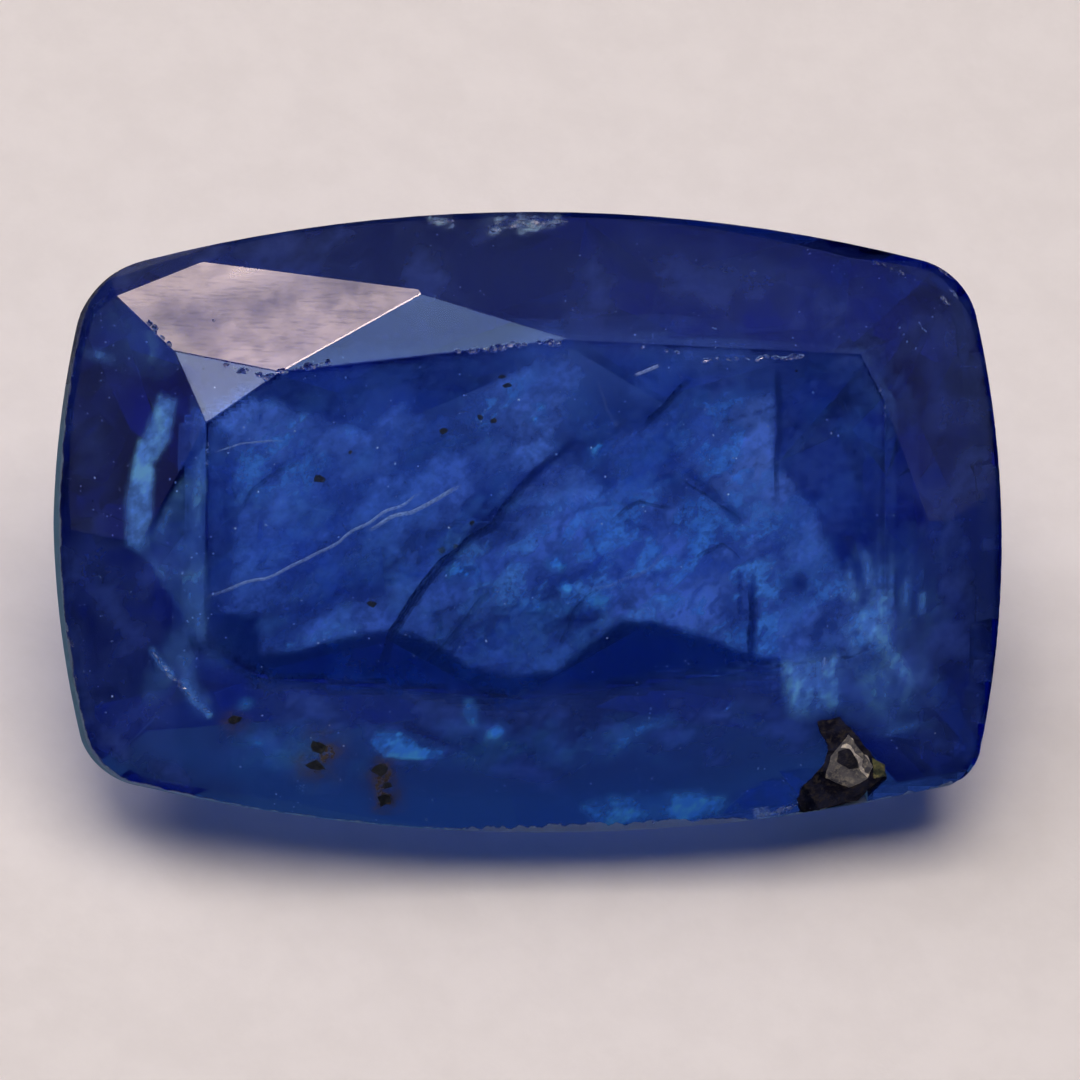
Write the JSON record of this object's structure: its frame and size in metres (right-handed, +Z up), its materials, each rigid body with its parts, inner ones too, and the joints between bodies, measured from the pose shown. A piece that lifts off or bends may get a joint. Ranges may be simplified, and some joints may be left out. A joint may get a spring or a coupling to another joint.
{
  "type": "cushion-cut tanzanite",
  "caption": "Faceted deep blue tanzanite with a cushion outline and many inclusions, lying on a pavilion facet with its table tipped forward.",
  "frame": {"origin": "centre of the bounding box, on the surface that the stone lies on", "axes": "+X along the stone's long side, to the right in the picture, +Y away from the viewer, +Z up; the table faces forward and up, towards -Y and +Z"},
  "size_m": [0.0124, 0.0068, 0.0059],
  "materials": {
    "crystal": "see-through deep blue crystal with worn polished facets and a frosted girdle",
    "cloud": "milky clouds, veils and feathers sealed in the crystal",
    "fracture": "dark healed cracks sealed in the crystal",
    "graphite": "graphite flakes with a brown stain round them",
    "mineral": "grey-gold grain of host rock in the broken pit"
  },
  "bodies": {
    "root": {"tanzanite": "crystal"}
  },
  "joints": []
}
